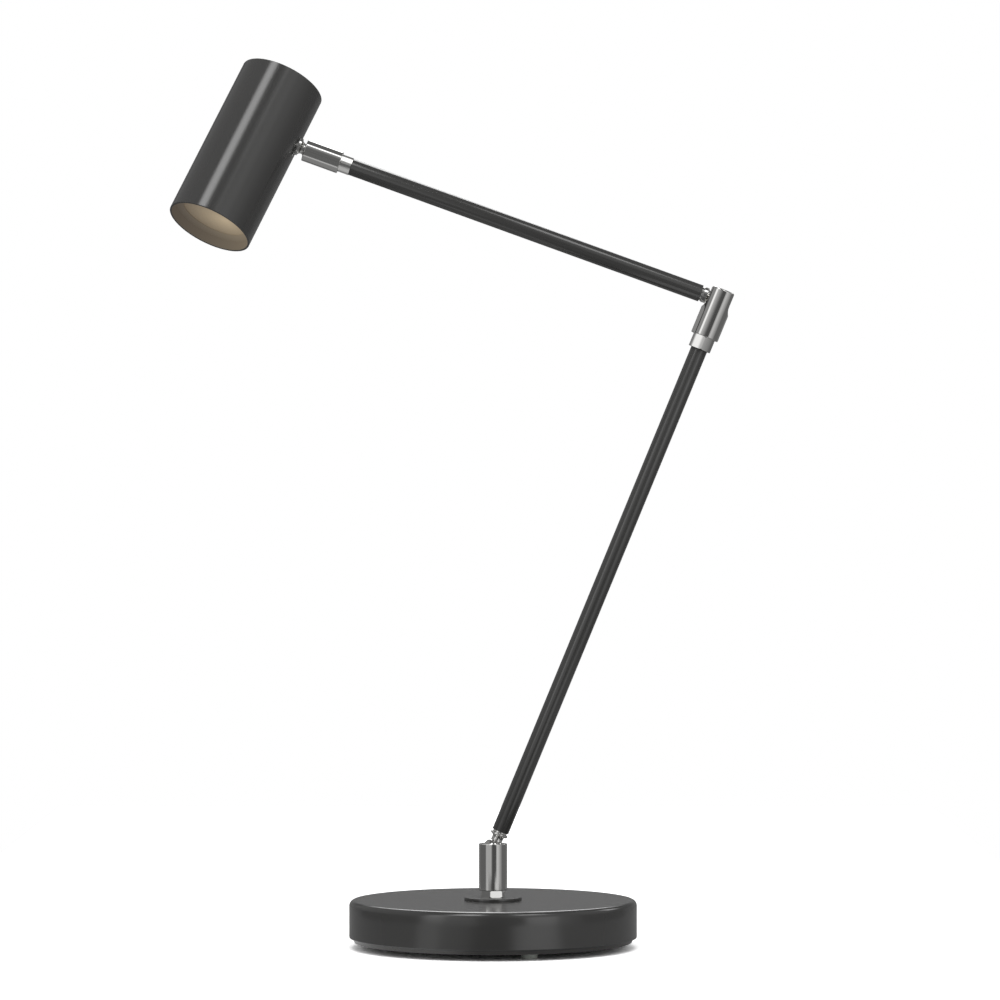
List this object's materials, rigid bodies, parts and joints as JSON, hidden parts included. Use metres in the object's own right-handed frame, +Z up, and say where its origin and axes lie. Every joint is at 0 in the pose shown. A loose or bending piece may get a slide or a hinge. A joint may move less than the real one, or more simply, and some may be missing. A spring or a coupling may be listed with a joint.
{
  "type": "table lamp",
  "caption": "Table lamp with a round weighted base, tube arms on chromed ball joints and a slim cylindrical spotlight head.",
  "frame": {"origin": "middle of the round base, on the table it stands on", "axes": "+Z up, +X towards the elbow in the plane of both arms, -Y towards the front, where the lamp shines to the left"},
  "size_m": [0.3314, 0.1716, 0.5247],
  "materials": {
    "chrome": "mirror-polished chrome plate",
    "black_paint": "satin black paint",
    "plain_steel": "zinc-plated",
    "cast_iron": "rough as cast",
    "brass": "turned",
    "acetal": "natural acetal",
    "clear_pad": "clear soft pad",
    "black_rubber": "matt",
    "white_plastic": "plain",
    "black_plastic": "plain",
    "bare_aluminium": "as cast",
    "phosphor": "smooth",
    "reflector_coat": "satin white",
    "frosted_lens": "frosted, warm when unlit"
  },
  "bodies": {
    "base": {"foot_right": "clear_pad", "foot_left": "clear_pad", "foot_rear": "clear_pad", "bottom_plate": "black_paint", "plate_screws": "plain_steel", "ballast_weight": "cast_iron", "base_cap": "black_paint", "lead_inlet": "black_rubber", "terminal_block": "white_plastic", "lead_clamp": "black_plastic", "clamp_screws": "plain_steel", "threaded_tube": "brass", "under_nut": "brass", "lock_washer": "plain_steel", "trim_washer": "chrome", "base_nut": "chrome", "base_socket": "chrome", "base_springs": "plain_steel"},
    "base_seat": {"base_seat": "acetal"},
    "base_ball": {"base_ball": "chrome"},
    "lower_arm": {"lower_stud": "chrome", "lower_clip": "plain_steel", "lower_tube": "black_paint", "elbow_nut": "chrome", "elbow_socket": "chrome", "elbow_springs": "plain_steel", "elbow_seat": "acetal"},
    "elbow_ball": {"elbow_ball": "chrome"},
    "upper_arm": {"upper_stud": "chrome", "upper_clip": "plain_steel", "upper_tube": "black_paint", "head_nut": "chrome", "head_socket": "chrome", "head_springs": "plain_steel"},
    "head_seat": {"head_seat": "acetal"},
    "head_ball": {"head_ball": "chrome"},
    "head": {"head_stud": "chrome", "head_clip": "plain_steel", "head_shell": "black_paint", "back_cap": "black_paint", "stud_washer": "plain_steel", "stud_nut": "brass", "heat_sink": "bare_aluminium", "led_board": "white_plastic", "led_chip": "phosphor", "board_screws": "plain_steel", "reflector": "reflector_coat", "lens": "frosted_lens", "front_ring": "black_plastic"}
  },
  "joints": [
    {"name": "base_swivel", "type": "hinge", "parent": "base", "child": "base_seat", "pos_m": [0, 0, 0.0583], "axis": [0, 0, 1], "range_deg": [-170, 170]},
    {"name": "base_lean", "type": "hinge", "parent": "base_seat", "child": "base_ball", "pos_m": [0, 0, 0.0583], "axis": [0, 1, 0], "range_deg": [-52.4, 7.6]},
    {"name": "lower_arm_spin", "type": "hinge", "parent": "base_ball", "child": "lower_arm", "pos_m": [0, 0, 0.0583], "axis": [0.3811, 0, 0.9245], "range_deg": [-170, 170]},
    {"name": "elbow_bend", "type": "hinge", "parent": "lower_arm", "child": "elbow_ball", "pos_m": [0.13356, 0, 0.38235], "axis": [0, 1, 0], "range_deg": [-2.5, 187.5]},
    {"name": "upper_arm_spin", "type": "hinge", "parent": "elbow_ball", "child": "upper_arm", "pos_m": [0.13356, 0, 0.38235], "axis": [-0.9403, 0, 0.3404], "range_deg": [-170, 170]},
    {"name": "head_swivel", "type": "hinge", "parent": "upper_arm", "child": "head_seat", "pos_m": [-0.10809, 0, 0.46983], "axis": [-0.9403, 0, 0.3404], "range_deg": [-170, 170]},
    {"name": "head_tilt", "type": "hinge", "parent": "head_seat", "child": "head_ball", "pos_m": [-0.10809, 0, 0.46983], "axis": [0, 1, 0], "range_deg": [-25.5, 14.5]},
    {"name": "head_spin", "type": "hinge", "parent": "head_ball", "child": "head", "pos_m": [-0.10809, 0, 0.46983], "axis": [-0.9033, 0, 0.4289], "range_deg": [-170, 170]}
  ]
}
